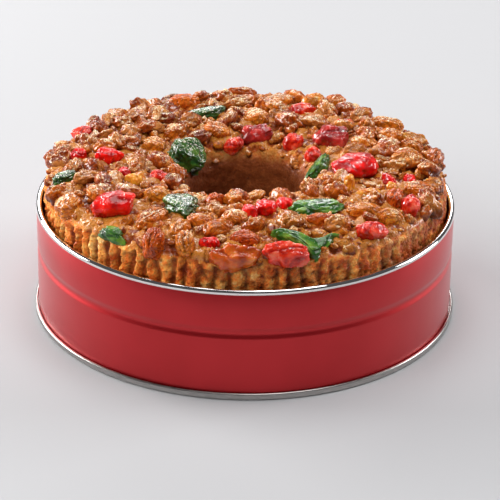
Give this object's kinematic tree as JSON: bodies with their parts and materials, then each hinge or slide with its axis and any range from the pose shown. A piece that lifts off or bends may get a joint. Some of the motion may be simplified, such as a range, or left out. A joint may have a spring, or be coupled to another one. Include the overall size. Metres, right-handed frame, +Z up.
{
  "type": "ring christmas cake in a tin",
  "caption": "Fluted ring fruit cake topped with glazed pecans and candied fruit, in a low round lacquered tin with a rolled rim.",
  "frame": {"origin": "on the surface the tin stands on, under the middle of the overall box", "axes": "+Z up along the tin's axis, -Y towards the side seen in the picture, +X to its right"},
  "size_m": [0.194, 0.194, 0.0757],
  "materials": {
    "tin_lacquer": "red lacquered tinplate",
    "bare_steel": "bare tinplate, bright on the rolled rim and duller on the base seam",
    "crumb": "baked cake crumb, porous, glazed on top",
    "pecan": "pecan under a clear sugar glaze",
    "cherry": "candied cherry, translucent and wet looking",
    "green_fruit": "candied green fruit, wrinkled and glazed",
    "peel": "candied orange and pineapple, glazed"
  },
  "bodies": {
    "root": {"tin_wall": "tin_lacquer", "tin_base": "bare_steel", "ring_cake": "crumb", "cherry_left_back": "cherry", "cherry_left_outer": "cherry", "cherry_left_block": "cherry", "cherry_left_small": "cherry", "cherry_left_inner": "cherry", "cherry_left_large": "cherry", "cherry_lip_back": "cherry", "cherry_lip_dark": "cherry", "cherry_back_flat": "cherry", "cherry_back_small": "cherry", "cherry_back_dark": "cherry", "cherry_right_lip": "cherry", "cherry_right_lip_low": "cherry", "cherry_right_large": "cherry", "cherry_right_sliver": "cherry", "cherry_right_bit": "cherry", "cherry_front_left_bit": "cherry", "cherry_front_middle": "cherry", "cherry_front_right_bit": "cherry", "cherry_shoulder_pink": "cherry", "cherry_edge_front": "cherry", "cherry_edge_right": "cherry", "cherry_edge_left": "cherry", "green_left": "green_fruit", "green_lip": "green_fruit", "green_front_left": "green_fruit", "green_back_strip": "green_fruit", "green_right_lip": "green_fruit", "green_front_right": "green_fruit", "green_front_bent": "green_fruit", "green_edge_left": "green_fruit", "peel_left_curve": "peel", "peel_right_upright": "peel", "peel_right_flat": "peel", "peel_right_small": "peel", "pecan_front_white": "pecan", "pecan_edge_amber": "pecan", "pecan_edge_knobbly": "pecan", "pecan_edge_slab": "pecan", "pecan_left_glazed": "pecan", "pecan_right_long": "pecan", "pecan_right_broad": "pecan", "pecan_right_dark": "pecan", "pecan_front_amber": "pecan", "pecan_right_edge": "pecan", "pecan_lip_front": "pecan", "pecan_left_inner": "pecan", "pecan_front_long": "pecan", "pecan_left_dark": "pecan", "pecan_back_left_half": "pecan", "pecan_lip_back_left": "pecan", "pecan_left_rim": "pecan", "pecan_back_left_long": "pecan", "pecan_back_rim": "pecan", "pecan_back_right_rim": "pecan", "pecan_right_back_half": "pecan", "pecan_back_middle": "pecan"}
  },
  "joints": []
}
